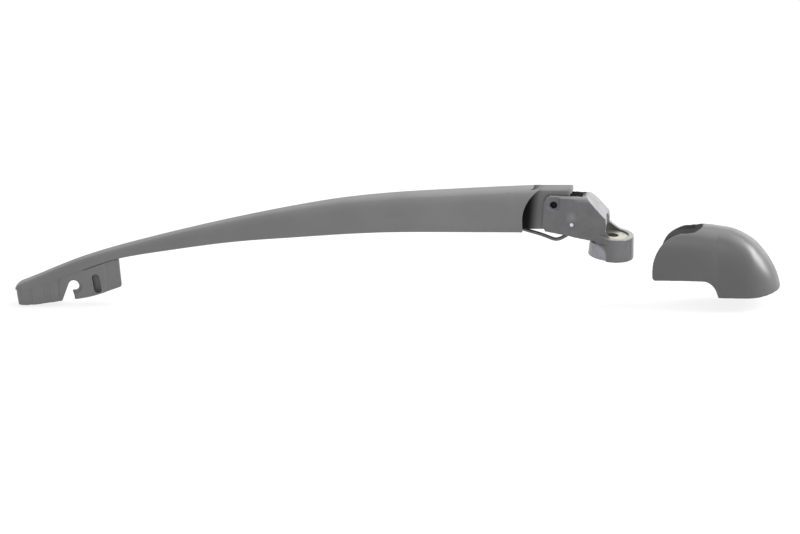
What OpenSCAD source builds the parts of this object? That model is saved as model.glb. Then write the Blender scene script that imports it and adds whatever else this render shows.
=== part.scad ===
// Rear window wiper arm with its hinge, spring and taken-off spindle cap.
// The frame has its origin at the foot of the spindle bore and +Z along the spindle.
// The arm reaches towards -X and rests on its lower stop, below the plane of the spindle boss.

/* [Spindle boss] */
// Diameter of the boss at its foot
boss_d = 24.8; // [23:0.2:27]
// Height of the boss
boss_h = 12.6; // [11:0.2:14]
// Taper of the boss from foot to top, on the diameter
boss_draft = 1.6; // [0:0.2:2]
// Outer diameter of the insert pressed into the boss
insert_d = 17; // [15:0.1:17.6]
// Depth of the insert's face below the boss rim
insert_recess = 0.8; // [0.4:0.1:1.2]
// Height of the step round the boss's front half
boss_step = 0.6; // [0.2:0.1:0.8]
// Diameter of the stud hole at the top of the insert
stud_d = 6.4; // [5:0.1:7]
// Length of the straight stud hole
stud_l = 3.6; // [3:0.1:5]
// Diameter of the spindle bore below the stud hole
spindle_d = 9; // [8:0.1:10]

/* [Mounting head] */
// Distance of the hinge from the spindle axis
hinge_x = 32.8; // [32:0.1:37]
// Height of the hinge over the foot of the boss
hinge_z = 27; // [26:0.5:28]
// Width of the cast body
head_w = 17.4; // [16.8:0.2:19]
// Width over the two hinge cheeks
cheek_w = 15.8; // [15.4:0.2:16.4]
// Clear slot between the cheeks
slot_w = 11; // [10.6:0.2:11.4]
// Radius of the cheek round the hinge
cheek_r = 5.5; // [5.2:0.1:6]
// Rounding of the body's upper outer edges
shoulder_r = 3.2; // [1:0.2:3.4]

/* [Hinge and spring] */
// Angle of the arm below the plane of the boss at rest
droop = 7.5; // [5:0.5:9]
// Diameter of the hinge pin
hinge_pin_d = 4; // [3.5:0.1:4.4]
// How far the hinge pin's ends lie inside the cheeks
pin_recess = 1.5; // [0.6:0.1:1.6]
// Diameter of the pin that the spring hook swings on
hook_pin_d = 2; // [1.8:0.1:2.4]
// Diameter of the spring hook's wire
hook_wire_d = 2; // [1.6:0.1:2.2]
// Outer diameter of the tension spring
spring_d = 9.6; // [8:0.2:10]
// Diameter of the spring's wire
spring_wire_d = 1.5; // [1.2:0.1:1.6]
// Number of turns in the spring
spring_turns = 22; // [16:1:24]
// Diameter of the pin that anchors the spring in the arm
anchor_pin_d = 3; // [2.6:0.1:3.4]
// Radial clearance of pins that turn in their holes
running_gap = 0.05; // [0.02:0.01:0.09]

/* [Arm] */
// Length of the arm from its hinge to its tip
arm_l = 299.3; // [290:0.1:305]
// Wall of the arm's channel
arm_wall = 2; // [1.8:0.1:2.4]
// Half width of the channel at the tip
tip_half_w = 5.6; // [5.2:0.1:6]
// Half width of the channel at the hinge
root_half_w = 9.8; // [9.4:0.1:10.2]
// Share by which the channel narrows from its lower edge to its back
flank_draft = 0.16; // [0.1:0.01:0.2]
// Width of the neck between the cheeks
neck_w = 10.4; // [10:0.1:10.4]
// Length of the tongue past the hinge
tongue_l = 9.8; // [9.4:0.1:11]
// Thickness of the tongue
tongue_t = 2.8; // [2.4:0.1:3]

/* [Blade clip] */
// Diameter of the blade pin that snaps into the clip
blade_pin_d = 5.5; // [5:0.1:6]
// Width of the inner jaw that grips the pin
jaw_w = 2.4; // [2:0.1:4]
// Depth of the shallow panels in the clip's flanks
panel_depth = 0.35; // [0.2:0.05:0.5]

/* [Spindle cap] */
// Wall of the cap
cap_wall = 1.8; // [1.6:0.1:2]
// Half width of the cap over the spindle boss
cap_half_w = 16; // [15.6:0.1:17]
// Gap between the fitted cap and the arm's end
cap_gap = 0.8; // [0.6:0.1:1.2]
// How far the cap lies to the right of its fitted place
cap_off_x = 70.1; // [68:0.1:80]
// How far the cap lies below its fitted place
cap_off_z = 22.8; // [21:0.2:24]

/* [Hidden] */
$fn = 64;
eps = 0.01;

// Places in the arm's frame, whose origin is the hinge and whose X runs along the arm's root.
hook_at = [9.4, -11.2];
anchor_at = [-87, -7.8];
hook_bend_at = [-1.2, -21.7];
hook_eye_at = [-34.4, -8.5];
root_x = -17.6;

// Side lines of the arm, as stations of [x, z] from tip to root. Those near the tip go with the tip.
function from_tip(d) = -arm_l + d;
function part_way(share) = -arm_l * share;
back_line = [[from_tip(0), -47.2], [from_tip(8), -44.1], [from_tip(38), -31.95], [part_way(0.755), -21.65],
             [part_way(0.588), -9.7], [part_way(0.423), -0.2], [part_way(0.312), 3.7], [-50, 6.3], [-10, 8.1],
             [20, 8.8]];
belly_line = [[from_tip(0), -49.6], [from_tip(8), -48.6], [from_tip(39), -37.3], [from_tip(57), -31.3],
              [part_way(0.698), -25.5], [part_way(0.588), -21], [part_way(0.476), -18.2], [part_way(0.366), -15.8],
              [-84, -14.8], [-40, -14.7], [20, -15]];
half_line = [[from_tip(0), tip_half_w], [from_tip(56), tip_half_w + 0.2], [part_way(0.64), tip_half_w + 0.9],
             [part_way(0.403), root_half_w - 1.6], [-70, root_half_w - 0.5], [root_x, root_half_w],
             [20, root_half_w]];

// Slope of a line of stations at station i.
function slope_at(pts, i) =
    let (a = max(i - 1, 0), b = min(i + 1, len(pts) - 1))
    (pts[b][1] - pts[a][1]) / (pts[b][0] - pts[a][0]);

// Smooth height of a line of stations at x.
function along(pts, x, i = 0) =
    (i < len(pts) - 2 && x > pts[i + 1][0]) ? along(pts, x, i + 1)
    : let (p = pts[i], q = pts[i + 1], w = q[0] - p[0], t = (x - p[0]) / w)
      p[1] * (1 + 2 * t) * (1 - t) * (1 - t) + q[1] * t * t * (3 - 2 * t)
      + w * slope_at(pts, i) * t * (1 - t) * (1 - t) - w * slope_at(pts, i + 1) * t * t * (1 - t);

// Half width of the channel, rounded off in plan at the tip.
tip_round = 4.5;
function tip_share(x) =
    let (t = min(1, max(0, (x + arm_l + 0.4) / tip_round)))
    sqrt(1 - (1 - t) * (1 - t));
function half_w(x) = along(half_line, x) * (0.25 + 0.75 * tip_share(x));
function back_z(x) = along(back_line, x) - 2.2 * (1 - tip_share(x));
function belly_z(x) = along(belly_line, x);

// A squared-off half oval: the channel's outline, lower edge to lower edge.
squareness = 5;
function oval(c, square = squareness) = pow(abs(c), 2 / square);
function section(half, low, high, steps, draft = flank_draft, square = squareness) = [
    for (i = [0 : steps])
        let (a = 180 * i / steps, s = oval(sin(a), square))
        [sign(cos(a)) * oval(cos(a), square) * half * (1 - draft * s), low + (high - low) * s]
];

// End edge of the shell as seen from the side: upright below, then an arc towards the tongue.
edge_arc_r = 20;
edge_arc_z = -9.5;
function arc_run(z, r, from_z) =
    let (h = min(max(0, z - from_z), r - 1))
    r - sqrt(r * r - h * h);
function edge_x(z) = root_x + arc_run(z, edge_arc_r, edge_arc_z);

module in_arm_frame() {
    translate([-hinge_x, 0, hinge_z]) rotate([0, -droop, 0]) children();
}

// Extrudes a side outline, drawn as [x, z], to a width centred on the middle plane.
module side_extrude(width) {
    rotate([90, 0, 0]) translate([0, 0, -width / 2]) linear_extrude(width) children();
}

// A cylinder across the arm at [x, z].
module cross_rod(at, d, width) {
    translate([at[0], 0, at[1]]) rotate([90, 0, 0]) cylinder(d = d, h = width, center = true);
}

// Channel of the arm, lofted from its tip to its curved end edge.
shell_steps = 20;
shell_stations = 44;
edge_blend = 40;
tip_dense = 10;
function station_x(i) =
    i < tip_dense ? -arm_l + tip_round * pow(i / tip_dense, 2)
    : let (t = (i - tip_dense) / (shell_stations - tip_dense)) -arm_l + tip_round + (arm_l - tip_round + root_x) * t;
function edge_share(x) = pow(max(0, (x - root_x + edge_blend) / edge_blend), 2);
function cavity_share(x) = min(1, max(0.05, (x + arm_l - 1) / 6));
function outer_ring(x) = section(half_w(x), belly_z(x), back_z(x), shell_steps);
function inner_ring(x) =
    section(max(0.5, half_w(x) - arm_wall) , belly_z(x),
            belly_z(x) + (back_z(x) - belly_z(x) - arm_wall) * cavity_share(x), shell_steps);
function shifted(x, p) = x + edge_share(x) * (edge_x(p[1]) - root_x);
function placed_ring(x, ring) = [
    for (p = ring)
        let (sx = shifted(x, p), lift = (back_z(sx) - back_z(x)) * (p[1] - belly_z(x)) / (back_z(x) - belly_z(x)))
        [sx, p[0], p[1] + lift]
];
function reversed(v) = [for (i = [len(v) - 1 : -1 : 0]) v[i]];

// Faces of a loft through rings of n points, open at both ends.
function loft_sides(rings, n) = [
    for (i = [0 : rings - 2]) for (j = [0 : n - 1])
        let (a = i * n + j, b = i * n + (j + 1) % n)
        each [[b, a, a + n], [b + n, b, a + n]]
];
// Faces that close a trough's ring, whose first k + 1 points are outside and the rest run back inside.
function trough_end(from, n, k) = [
    for (j = [0 : k - 1])
        each [[from + j, from + j + 1, from + n - 2 - j], [from + j, from + n - 2 - j, from + n - 1 - j]]
];
function turned(faces) = [for (f = faces) reversed(f)];

module channel() {
    rings = [for (i = [0 : shell_stations])
        let (x = station_x(i)) concat(placed_ring(x, outer_ring(x)), reversed(placed_ring(x, inner_ring(x))))];
    n = len(rings[0]);
    polyhedron(
        points = [for (r = rings) each r],
        faces = concat(loft_sides(len(rings), n), trough_end(0, n, shell_steps),
                       turned(trough_end(shell_stations * n, n, shell_steps))),
        convexity = 6);
}

// Plan outline of the neck: it fills the channel and necks in with a cove to the slot's width.
cove_r = 8;
cove_x = root_x - 6;
neck_back_x = root_x - 7.8;
neck_fill_w = 2 * (root_half_w - 0.9);
module neck_plan() {
    translate([neck_back_x, -neck_fill_w / 2]) square([cove_x - neck_back_x, neck_fill_w]);
    difference() {
        translate([cove_x - eps, -neck_fill_w / 2]) square([cove_r, neck_fill_w]);
        for (s = [-1, 1]) translate([cove_x + cove_r, s * (neck_w / 2 + cove_r)]) circle(r = cove_r);
    }
    translate([neck_back_x, -neck_w / 2]) square([tongue_l - neck_back_x - 2, neck_w]);
    hull() for (s = [-1, 1]) translate([tongue_l - 2, s * (neck_w / 2 - 2)]) circle(r = 2);
}

// Side outline of the neck, its hinge eye, its heel and the tongue.
heel_x = 0.6;
neck_low = -14.4;
neck_top = 8.2;
neck_dip = 1.6;
eye_r = 5;
module neck_side() {
    polygon([[neck_back_x, neck_low], [heel_x, neck_low], [heel_x, neck_top], [root_x + 7, neck_top],
             [root_x + 3, neck_top - neck_dip / 2], [neck_back_x, neck_top - neck_dip]]);
    translate([root_x + 7, neck_top - tongue_t]) square([tongue_l - root_x - 7, tongue_t]);
    circle(r = eye_r);
    translate([0, neck_top - tongue_t - 1.4]) square([tongue_l - 1.2, 2]);
}

// Way for the hook's wire, stepped down under the hinge eye.
wire_way_w = 5;
wire_way_top = -1;
eye_way_top = -5;
eye_way_x = -5.8;
anchor_boss_l = 6;
anchor_boss_gap = 11;
module arm_shell() {
    color("dimgray") in_arm_frame() difference() {
        union() {
            channel();
            intersection() {
                side_extrude(neck_fill_w) neck_side();
                translate([0, 0, -30]) linear_extrude(60) neck_plan();
                translate([neck_back_x, 0, 0]) rotate([90, 0, 90])
                    linear_extrude(60) polygon(section(root_half_w - 0.8, -15, neck_top, 16));
            }
            for (s = [-1, 1])
                translate([anchor_at[0] - anchor_boss_l / 2, s * (anchor_boss_gap / 2 + 1.4) - 1.4, anchor_at[1] - 3])
                    cube([anchor_boss_l, 2.8, 6]);
        }
        cross_rod([0, 0], hinge_pin_d + 2 * running_gap, 30);
        cross_rod(anchor_at, anchor_pin_d, anchor_boss_gap + 5);
        translate([neck_back_x - 1, -wire_way_w / 2, -20])
            cube([eye_way_x + 1 - neck_back_x, wire_way_w, 20 + wire_way_top]);
        translate([neck_back_x, -wire_way_w / 2, -20])
            cube([heel_x + 5 - neck_back_x, wire_way_w, 20 + eye_way_top]);
    }
}

// Clip under the arm's end, with the notch that the blade's pin snaps into.
clip_gap = 0.1;
clip_w = 2 * (tip_half_w - clip_gap);
clip_start_x = from_tip(0.3);
clip_end_x = from_tip(58.1);
clip_foot_x = from_tip(59.2);
clip_foot_z = -47.2;
clip_floor_z = -70;
clip_low_line = [[from_tip(-1), -57.9], [from_tip(10.5), -57.6], [from_tip(24.5), -55.6], [from_tip(42), -52.9],
                 [clip_foot_x, clip_foot_z]];
notch_at = [from_tip(33.4), -46.7];
notch_side = 158;
notch_jaw = -111;
notch_step = 0.8;
jaw_set_back = 0.8;
function clip_low_z(x) = along(clip_low_line, x);
function polar(at, r, a) = [at[0] + r * cos(a), at[1] + r * sin(a)];

module clip_outline() {
    intersection() {
        polygon(concat([for (x = [clip_start_x : 2 : clip_end_x]) [x, belly_z(x)]],
                       [[clip_end_x, belly_z(clip_end_x)], [clip_foot_x, clip_foot_z],
                        [clip_foot_x, clip_floor_z], [clip_start_x, clip_floor_z]]));
        offset(r = 1.2) offset(r = -1.2) polygon(concat([[clip_foot_x, -25], [clip_start_x, -25], [clip_start_x, -49]],
            [for (x = [clip_start_x + 1.2 : 4 : clip_foot_x]) [x, clip_low_z(x)]],
            [[clip_foot_x, clip_low_z(clip_foot_x)]]));
    }
}
module notch(r) {
    translate(notch_at) circle(r = r);
    polygon([polar(notch_at, r, notch_side), polar(notch_at, r, notch_jaw), notch_at + [0.3, -7],
             [notch_at[0] + 0.3, clip_floor_z], [notch_at[0] - 11, clip_floor_z], notch_at + [-8.9, -13]]);
}
// Shallow panels in a flank, as [left, right, top], with places from the tip.
clip_panels = [[7.8, 9.6, -48], [14.9, 19.7, -45.6], [24.1, 25, -41], [50.3, 61, -20]];
recess_top = [from_tip(45.1), -42.2];
recess_foot = [from_tip(45.9), -48.9];
recess_r = 2.1;
// Plan outline of the clip: round at the tip and drawn in towards the far side at the other end.
module clip_plan() {
    tip_r = clip_w / 2 - 0.8;
    hull() {
        for (s = [-1, 1]) translate([clip_start_x + tip_r, s * (clip_w / 2 - tip_r)]) circle(r = tip_r);
        translate([notch_at[0], -clip_w / 2]) square([4, clip_w]);
        translate([clip_foot_x - 1, -clip_w / 2]) square([4, 1]);
        translate([clip_foot_x - 5.6, clip_w / 2 - 1]) square([1, 1]);
    }
}
// Behind the jaw the clip is open, so the pin is held at its near flank only.
jaw_far_y = -clip_w / 2 + jaw_set_back + jaw_w;
module far_opening() {
    polygon([notch_at + [-3.6, 2.5], notch_at + [-2, 4.2], notch_at + [6, 4.2], [notch_at[0] + 6, clip_floor_z],
             [notch_at[0] - 11.6, clip_floor_z], notch_at + [-9.6, -13]]);
}
module blade_clip() {
    pocket_depth = 2;
    color("dimgray") in_arm_frame() difference() {
        union() {
            intersection() {
                side_extrude(clip_w) clip_outline();
                translate([0, 0, clip_floor_z]) linear_extrude(60) clip_plan();
            }
            side_extrude(2 * (tip_half_w - arm_wall) - 1.6)
                polygon(concat([for (x = [from_tip(9.5) : 4 : from_tip(53.5)]) [x, belly_z(x) + 1.5]],
                               [for (x = [from_tip(53.5) : -4 : from_tip(9.5)]) [x, belly_z(x) - 1]]));
        }
        side_extrude(clip_w + 2) notch(blade_pin_d / 2);
        translate([0, -clip_w / 2, 0]) side_extrude(2 * jaw_set_back) notch(blade_pin_d / 2 + notch_step);
        translate([0, jaw_far_y + 10, 0]) side_extrude(20) far_opening();
        for (s = [-1, 1]) {
            translate([0, s * clip_w / 2, 0]) {
                side_extrude(2 * panel_depth) for (p = clip_panels)
                    translate([from_tip(p[0]), clip_floor_z]) square([p[1] - p[0], p[2] - clip_floor_z]);
                side_extrude(2 * pocket_depth) hull() {
                    translate(recess_top) circle(r = recess_r);
                    translate(recess_foot) circle(r = recess_r);
                }
            }
        }
    }
}

// Cast head: side outline in the spindle's frame, as [x, z]. Its left part goes with the hinge.
hinge_at = [-hinge_x, hinge_z];
body_x = hinge_at[0] + 11.8;
slope_top = hinge_at + [17.6, 6.6];
slope_foot = hinge_at + [29, -4];
slot_end_x = hinge_at[0] + 14.1;
head_low = 9.8;
cheek_low_z = 11.5;
hollow_r = 14.9;
slot_top_x = hinge_at[0] + 16.2;
slot_top_z = hinge_at[1] + 4.4;
rise_w = 1.4;
module head_side() {
    translate(hinge_at) circle(r = cheek_r);
    polygon([hinge_at - [cheek_r, 0], [hinge_at[0] - cheek_r + 0.6, cheek_low_z + 2.5],
             [hinge_at[0] - cheek_r + 2.2, cheek_low_z], [-12, head_low], [0, head_low], [-1.4, 13.6], [-3.4, 15.6],
             slope_foot + [0.7, -3.6], slope_foot, slope_top, hinge_at + [-0.4, cheek_r]]);
}
// Plan outline of the head: narrower at the cheeks, with a sloping rise to the body.
module head_plan() {
    polygon([for (s = [1, -1]) each
        let (pts = [[-60, cheek_w / 2], [body_x - rise_w, cheek_w / 2], [body_x + rise_w, head_w / 2], [20, head_w / 2]])
        s > 0 ? pts : [for (p = reversed(pts)) [p[0], -p[1]]]]);
}
module head_section(width) {
    offset(r = shoulder_r) offset(r = -shoulder_r) translate([-width / 2, -10]) square([width, 44]);
}
module head_roof(width) {
    translate([-50, 0, hinge_z - 30.2]) rotate([0, -4.3, 0]) rotate([90, 0, 90]) linear_extrude(70) head_section(width);
}
boss_step_x = -1;
boss_foot = 1;
module boss() {
    foot_r = boss_d / 2;
    translate([0, 0, boss_foot]) cylinder(r1 = foot_r - boss_step, r2 = foot_r - boss_step - boss_draft / 2,
                                          h = boss_h - boss_foot);
    intersection() {
        cylinder(r1 = foot_r, r2 = foot_r - boss_draft / 2, h = boss_h);
        translate([boss_step_x, -20, -1]) cube([40, 40, 40]);
    }
}
// Collar that rises from the boss rim to the foot of the slope.
module boss_collar() {
    intersection() {
        translate([0, 0, boss_foot]) cylinder(d = boss_d - boss_draft - 2 * boss_step, h = 24);
        side_extrude(head_w) polygon([[-14, 0], [-14, slope_foot[1] - 2], slope_foot + [-0.6, -2], slope_foot + [0.4, -6],
                                  [-2.2, boss_h + 1.5], [0.2, boss_h], [7, boss_h - 0.1], [7, 0]]);
    }
}
// Shallow pocket in a cheek round the end of the hinge pin, open upwards.
hinge_pocket_r = 3.3;
hinge_pocket_depth = 0.6;
module hinge_pockets() {
    for (s = [-1, 1]) translate([0, s * cheek_w / 2, 0]) side_extrude(2 * hinge_pocket_depth) {
        circle(r = hinge_pocket_r);
        translate([-hinge_pocket_r, 0]) square([2 * hinge_pocket_r, 10]);
    }
}
module stop_lugs() {
    lug_gap = wire_way_w + 0.8;
    for (s = [-1, 1]) translate([heel_x + 0.3, s * (lug_gap + slot_w) / 4 - (slot_w - lug_gap) / 4 - 0.2, -13.4])
        cube([3.4, (slot_w - lug_gap) / 2 + 0.4, 4]);
}
module mounting_head() {
    color("slategray") difference() {
        union() {
            difference() {
                intersection() {
                    side_extrude(head_w) head_side();
                    translate([0, 0, -1]) linear_extrude(60) head_plan();
                    head_roof(head_w);
                }
                translate([hinge_at[0], 0, hinge_at[1]]) rotate([90, 0, 0])
                    cylinder(r = hollow_r, h = slot_w, center = true);
                translate([-60, -slot_w / 2, 0]) cube([60 + slot_end_x, slot_w, hinge_z - 3]);
                translate([hinge_at[0], -slot_w / 2, slot_top_z]) cube([slot_top_x - hinge_at[0], slot_w, 10]);
            }
            boss();
            boss_collar();
            in_arm_frame() stop_lugs();
        }
        in_arm_frame() cross_rod([0, 0], hinge_pin_d, 30);
        in_arm_frame() cross_rod(hook_at, hook_pin_d, 30);
        in_arm_frame() cross_rod(hook_at, 7.4, wire_way_w);
        in_arm_frame() hinge_pockets();
        translate([0, 0, -1]) cylinder(d = insert_d, h = boss_h + 3);
        translate([0, 0, boss_h + 2 - eps]) cylinder(r1 = insert_d / 2, r2 = insert_d / 4, h = 9);
    }
}

module spindle_insert() {
    face_z = boss_h - insert_recess;
    color("wheat") difference() {
        cylinder(d = insert_d, h = face_z);
        translate([0, 0, -1]) cylinder(d = spindle_d, h = 1 + face_z - stud_l);
        cylinder(d = stud_d, h = face_z + 1);
    }
}

module hinge_pin() {
    color("silver") in_arm_frame() cross_rod([0, 0], hinge_pin_d, cheek_w - 2 * pin_recess);
}
module hook_pin() {
    color("silver") in_arm_frame() cross_rod(hook_at, hook_pin_d, cheek_w - 0.4);
}
module anchor_pin() {
    color("silver") in_arm_frame() cross_rod(anchor_at, anchor_pin_d, anchor_boss_gap + 4.8);
}

// Round wire swept along points, with its frame carried from point to point.
function unit(v) = v / norm(v);
function heading(p, i) = unit(p[min(i + 1, len(p) - 1)] - p[max(i - 1, 0)]);
function squared_off(v, t) = unit(v - (v * t) * t);
module wire(p, d, sides, start = [0, 1, 0]) {
    count = len(p);
    normals = [for (i = 0, v = squared_off(start, heading(p, 0)); i < count;
                    i = i + 1, v = i < count ? squared_off(v, heading(p, i)) : v) v];
    rings = [for (i = [0 : count - 1]) let (t = heading(p, i), u = normals[i], w = cross(t, u))
        [for (j = [0 : sides - 1]) p[i] + d / 2 * (cos(360 * j / sides) * u + sin(360 * j / sides) * w)]];
    last = (count - 1) * sides;
    polyhedron(
        points = [for (r = rings) each r],
        faces = concat(loft_sides(count, sides), [[for (j = [0 : sides - 1]) j]],
                       [[for (j = [sides - 1 : -1 : 0]) last + j]]),
        convexity = 6);
}
function lifted(p) = [p[0], 0, p[1]];

// Hook of bent wire: round its pin, under the neck and into the channel, ending in a closed eye.
hook_loop_r = hook_pin_d / 2 + hook_wire_d / 2 + 0.1;
hook_eye_r = 2.4;
module spring_hook() {
    way = [[8.5, -16.2], [5.8, -19], [2.6, -20.9], [0.6, -21.6], hook_bend_at, [-3.2, -21.1], [-5.4, -20.2], [-9, -18.8]];
    route = concat(
        [for (a = [150 : -30 : -30]) lifted(polar(hook_at, hook_loop_r, a))],
        [for (q = way) lifted(q)],
        [for (a = [254 : -24 : -10]) lifted(polar(hook_eye_at, hook_eye_r, a))]);
    color("gray") in_arm_frame() wire(route, hook_wire_d, 8);
}

// Tension spring from the anchor pin to the hook's eye.
module tension_spring() {
    run = [hook_eye_at[0] - anchor_at[0], hook_eye_at[1] - anchor_at[1]];
    span = norm(run);
    loop_r = (anchor_pin_d + spring_wire_d) / 2 + 0.1;
    coil_r = (spring_d - spring_wire_d) / 2;
    end_r = (hook_wire_d + spring_wire_d) / 2 + 0.15;
    coil_from = 7;
    coil_to = span - 8;
    steps = 10;
    turns_n = spring_turns * steps;
    route = concat(
        [for (a = [-150 : 30 : -30]) [-loop_r * cos(a + 90), 0, loop_r * sin(a + 90)]],
        [for (i = [0 : turns_n]) let (a = 360 * i / steps, s = coil_from + (coil_to - coil_from) * i / turns_n)
            [s, coil_r * sin(a), coil_r * cos(a)]],
        [for (a = [90 : -30 : -150]) [span - hook_eye_r + end_r * cos(a), end_r * sin(a), 0]]);
    color("gray") in_arm_frame() translate([anchor_at[0], 0, anchor_at[1]])
        rotate([0, -atan2(run[1], run[0]), 0]) wire(route, spring_wire_d, 6);
}

// Cap over the head, drawn where it fits and set down beside the arm.
cap_end_x = 51.4;
cap_round_x = 34.6;
cap_top_line = [[-18, 7.2], [-7.2, 7.8], [4.8, 8.3], [12.8, 7.9], [24.8, 6.3], [31.2, 3.9], [37.6, -0.3], [41.2, -3.9],
                [45.6, -10.2], [49.2, -17.6], [cap_end_x, -26]];
cap_draft = 0.08;
cap_square = 3.4;
cap_half_line = [[-18, 13], [0, 13.6], [15, cap_half_w - 1], [cap_round_x, cap_half_w], [60, cap_half_w]];
cap_low_left = -18.6;
cap_low_right = -27.9;
cap_lift = 1.4;
cap_step_x = 11.2;
cap_step_l = 8;
// Left end of the cap from the side, as stations of [z, x].
cap_end_line = [[-30, -16.8], [-14, -16.4], [-7, -14.7], [-0.4, -11.5], [3.2, -7.6], [5.6, -3.4], [7.3, 0.8], [9.5, 6.8]];
cap_stations = 50;
cap_steps = 24;
function cap_half(x) =
    let (t = min(1, max(0, (x - cap_round_x) / (cap_end_x - cap_round_x))))
    along(cap_half_line, x) * max(0.06, sqrt(1 - t * t));
function cap_low_z(x) =
    x < cap_step_x ? cap_low_left
    : x > cap_step_x + cap_step_l ? cap_low_right + cap_lift * pow(max(0, x - 37) / (cap_end_x - 37), 2)
    : cap_low_right + (cap_low_left - cap_low_right) * sqrt(1 - pow((x - cap_step_x) / cap_step_l, 2));
function cap_station(i) =
    let (t = i / cap_stations) root_x + cap_gap + (cap_end_x - root_x - cap_gap) * (1 - pow(1 - t, 1.5));
function cap_ring(x, inset) =
    let (share = (x - root_x) / (cap_end_x - root_x),
         half = max(0.3, cap_half(x) - inset),
         low = cap_low_z(x),
         high = max(low + 0.6, along(cap_top_line, x) - inset))
    [for (q = section(half, low, high, cap_steps, cap_draft, cap_square))
        [x - inset * share * share, q[0], q[1]]];
module cap_notch() {
    notch_half = 6.7;
    corner = 5.6;
    hull() for (s = [-1, 1]) translate([tongue_l + 0.6 - corner, s * (notch_half - corner)]) circle(r = corner);
    translate([-40, -notch_half]) square([40 + tongue_l - corner, 2 * notch_half]);
}
module cap_end_cut() {
    shift = cap_gap - 0.8;
    polygon(concat([[-14.9, -20], [-15.4, cap_low_left + 0.1], [-16.2, cap_low_left + 0.7], [-16.6, cap_low_left + 1.6]],
                   [for (z = [-15 : 1 : 9]) [along(cap_end_line, z) + shift, z]],
                   [[5, 12], [-30, 12], [-30, -20]]));
}
module spindle_cap() {
    rings = [for (i = [0 : cap_stations])
        let (x = cap_station(i)) concat(cap_ring(x, 0), reversed(cap_ring(x, cap_wall)))];
    n = len(rings[0]);
    k = cap_steps;
    from = cap_stations * n;
    end_out = [for (j = [1 : k - 1]) [from, from + j + 1, from + j]];
    end_in = [for (j = [k + 2 : n - 2]) [from + k + 1, from + j + 1, from + j]];
    color("gray") in_arm_frame() translate([cap_off_x, 0, -cap_off_z]) difference() {
        polyhedron(
            points = [for (r = rings) each r],
            faces = concat(loft_sides(len(rings), n), trough_end(0, n, k), end_out, end_in,
                           [[from + k, from, from + n - 1], [from + k, from + n - 1, from + k + 1]]),
            convexity = 6);
        translate([0, 0, -6]) linear_extrude(30) cap_notch();
        side_extrude(40) cap_end_cut();
    }
}

mounting_head();
spindle_insert();
hinge_pin();
hook_pin();
arm_shell();
blade_clip();
anchor_pin();
spring_hook();
tension_spring();
spindle_cap();
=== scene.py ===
"""Rear wiper arm with its hinged head, spring, blade clip and taken-off cap."""

import math

import bmesh
import bpy
from bpy.props import FloatProperty, FloatVectorProperty, IntProperty, PointerProperty
from mathutils import Matrix, Vector


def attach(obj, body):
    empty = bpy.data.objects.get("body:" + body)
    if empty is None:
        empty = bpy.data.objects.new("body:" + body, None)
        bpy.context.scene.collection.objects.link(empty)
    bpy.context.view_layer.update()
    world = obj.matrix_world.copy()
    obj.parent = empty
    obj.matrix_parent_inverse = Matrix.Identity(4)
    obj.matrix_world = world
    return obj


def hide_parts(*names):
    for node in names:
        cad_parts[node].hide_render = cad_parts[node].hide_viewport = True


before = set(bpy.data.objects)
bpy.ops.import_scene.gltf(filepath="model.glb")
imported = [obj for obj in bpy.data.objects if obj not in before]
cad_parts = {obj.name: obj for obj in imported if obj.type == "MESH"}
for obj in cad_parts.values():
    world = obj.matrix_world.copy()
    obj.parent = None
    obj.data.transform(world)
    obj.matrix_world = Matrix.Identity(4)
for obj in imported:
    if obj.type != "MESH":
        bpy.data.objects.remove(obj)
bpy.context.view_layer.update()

bl_info = {
    "name": "Rear Wiper Arm",
    "version": (1, 0, 0),
    "blender": (4, 5, 0),
    "location": "3D View > Sidebar > Wiper Arm",
    "description": "Builds the shell, head, clip, spring and cap of a rear wiper arm",
    "category": "Object",
}

MM = 0.001


class ArmSizes(bpy.types.PropertyGroup):
    """Sizes in millimetres of the arm's channel and neck, in the arm's frame at the hinge."""

    length: FloatProperty(name="Length", description="Hinge to tip", default=299.3)
    wall: FloatProperty(name="Wall", description="Wall of the channel", default=2.0)
    tip_half: FloatProperty(name="Tip half width", description="Half width at the tip", default=5.6)
    root_half: FloatProperty(name="Root half width", description="Half width at the hinge", default=9.8)
    draft: FloatProperty(name="Flank draft", description="Share by which the flanks lean in", default=0.16)
    neck_w: FloatProperty(name="Neck width", description="Width between the cheeks", default=10.4)
    tongue_l: FloatProperty(name="Tongue length", description="Tongue past the hinge", default=9.8)
    tongue_t: FloatProperty(name="Tongue thickness", description="Thickness of the tongue", default=2.8)
    droop: FloatProperty(
        name="Droop", description="Arm below the boss plane", default=math.radians(7.5), subtype="ANGLE"
    )


class HeadSizes(bpy.types.PropertyGroup):
    """Sizes in millimetres of the cast head, in the spindle's frame."""

    hinge_x: FloatProperty(name="Hinge distance", description="Hinge to spindle axis", default=32.8)
    hinge_z: FloatProperty(name="Hinge height", description="Hinge over the boss foot", default=27.0)
    body_w: FloatProperty(name="Body width", description="Width of the cast body", default=17.4)
    cheek_w: FloatProperty(name="Cheek width", description="Width over the cheeks", default=15.8)
    slot_w: FloatProperty(name="Slot width", description="Clear slot between the cheeks", default=11.0)
    cheek_r: FloatProperty(name="Cheek radius", description="Cheek round the hinge", default=5.5)
    boss_d: FloatProperty(name="Boss diameter", description="Boss at its foot", default=24.8)
    boss_h: FloatProperty(name="Boss height", description="Height of the boss", default=12.6)
    boss_step: FloatProperty(name="Boss step", description="Step round the boss's front half", default=0.6)
    insert_d: FloatProperty(name="Insert diameter", description="Pressed-in insert", default=17.0)
    shoulder_r: FloatProperty(name="Shoulder", description="Rounding of the upper outer edges", default=3.2)


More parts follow.
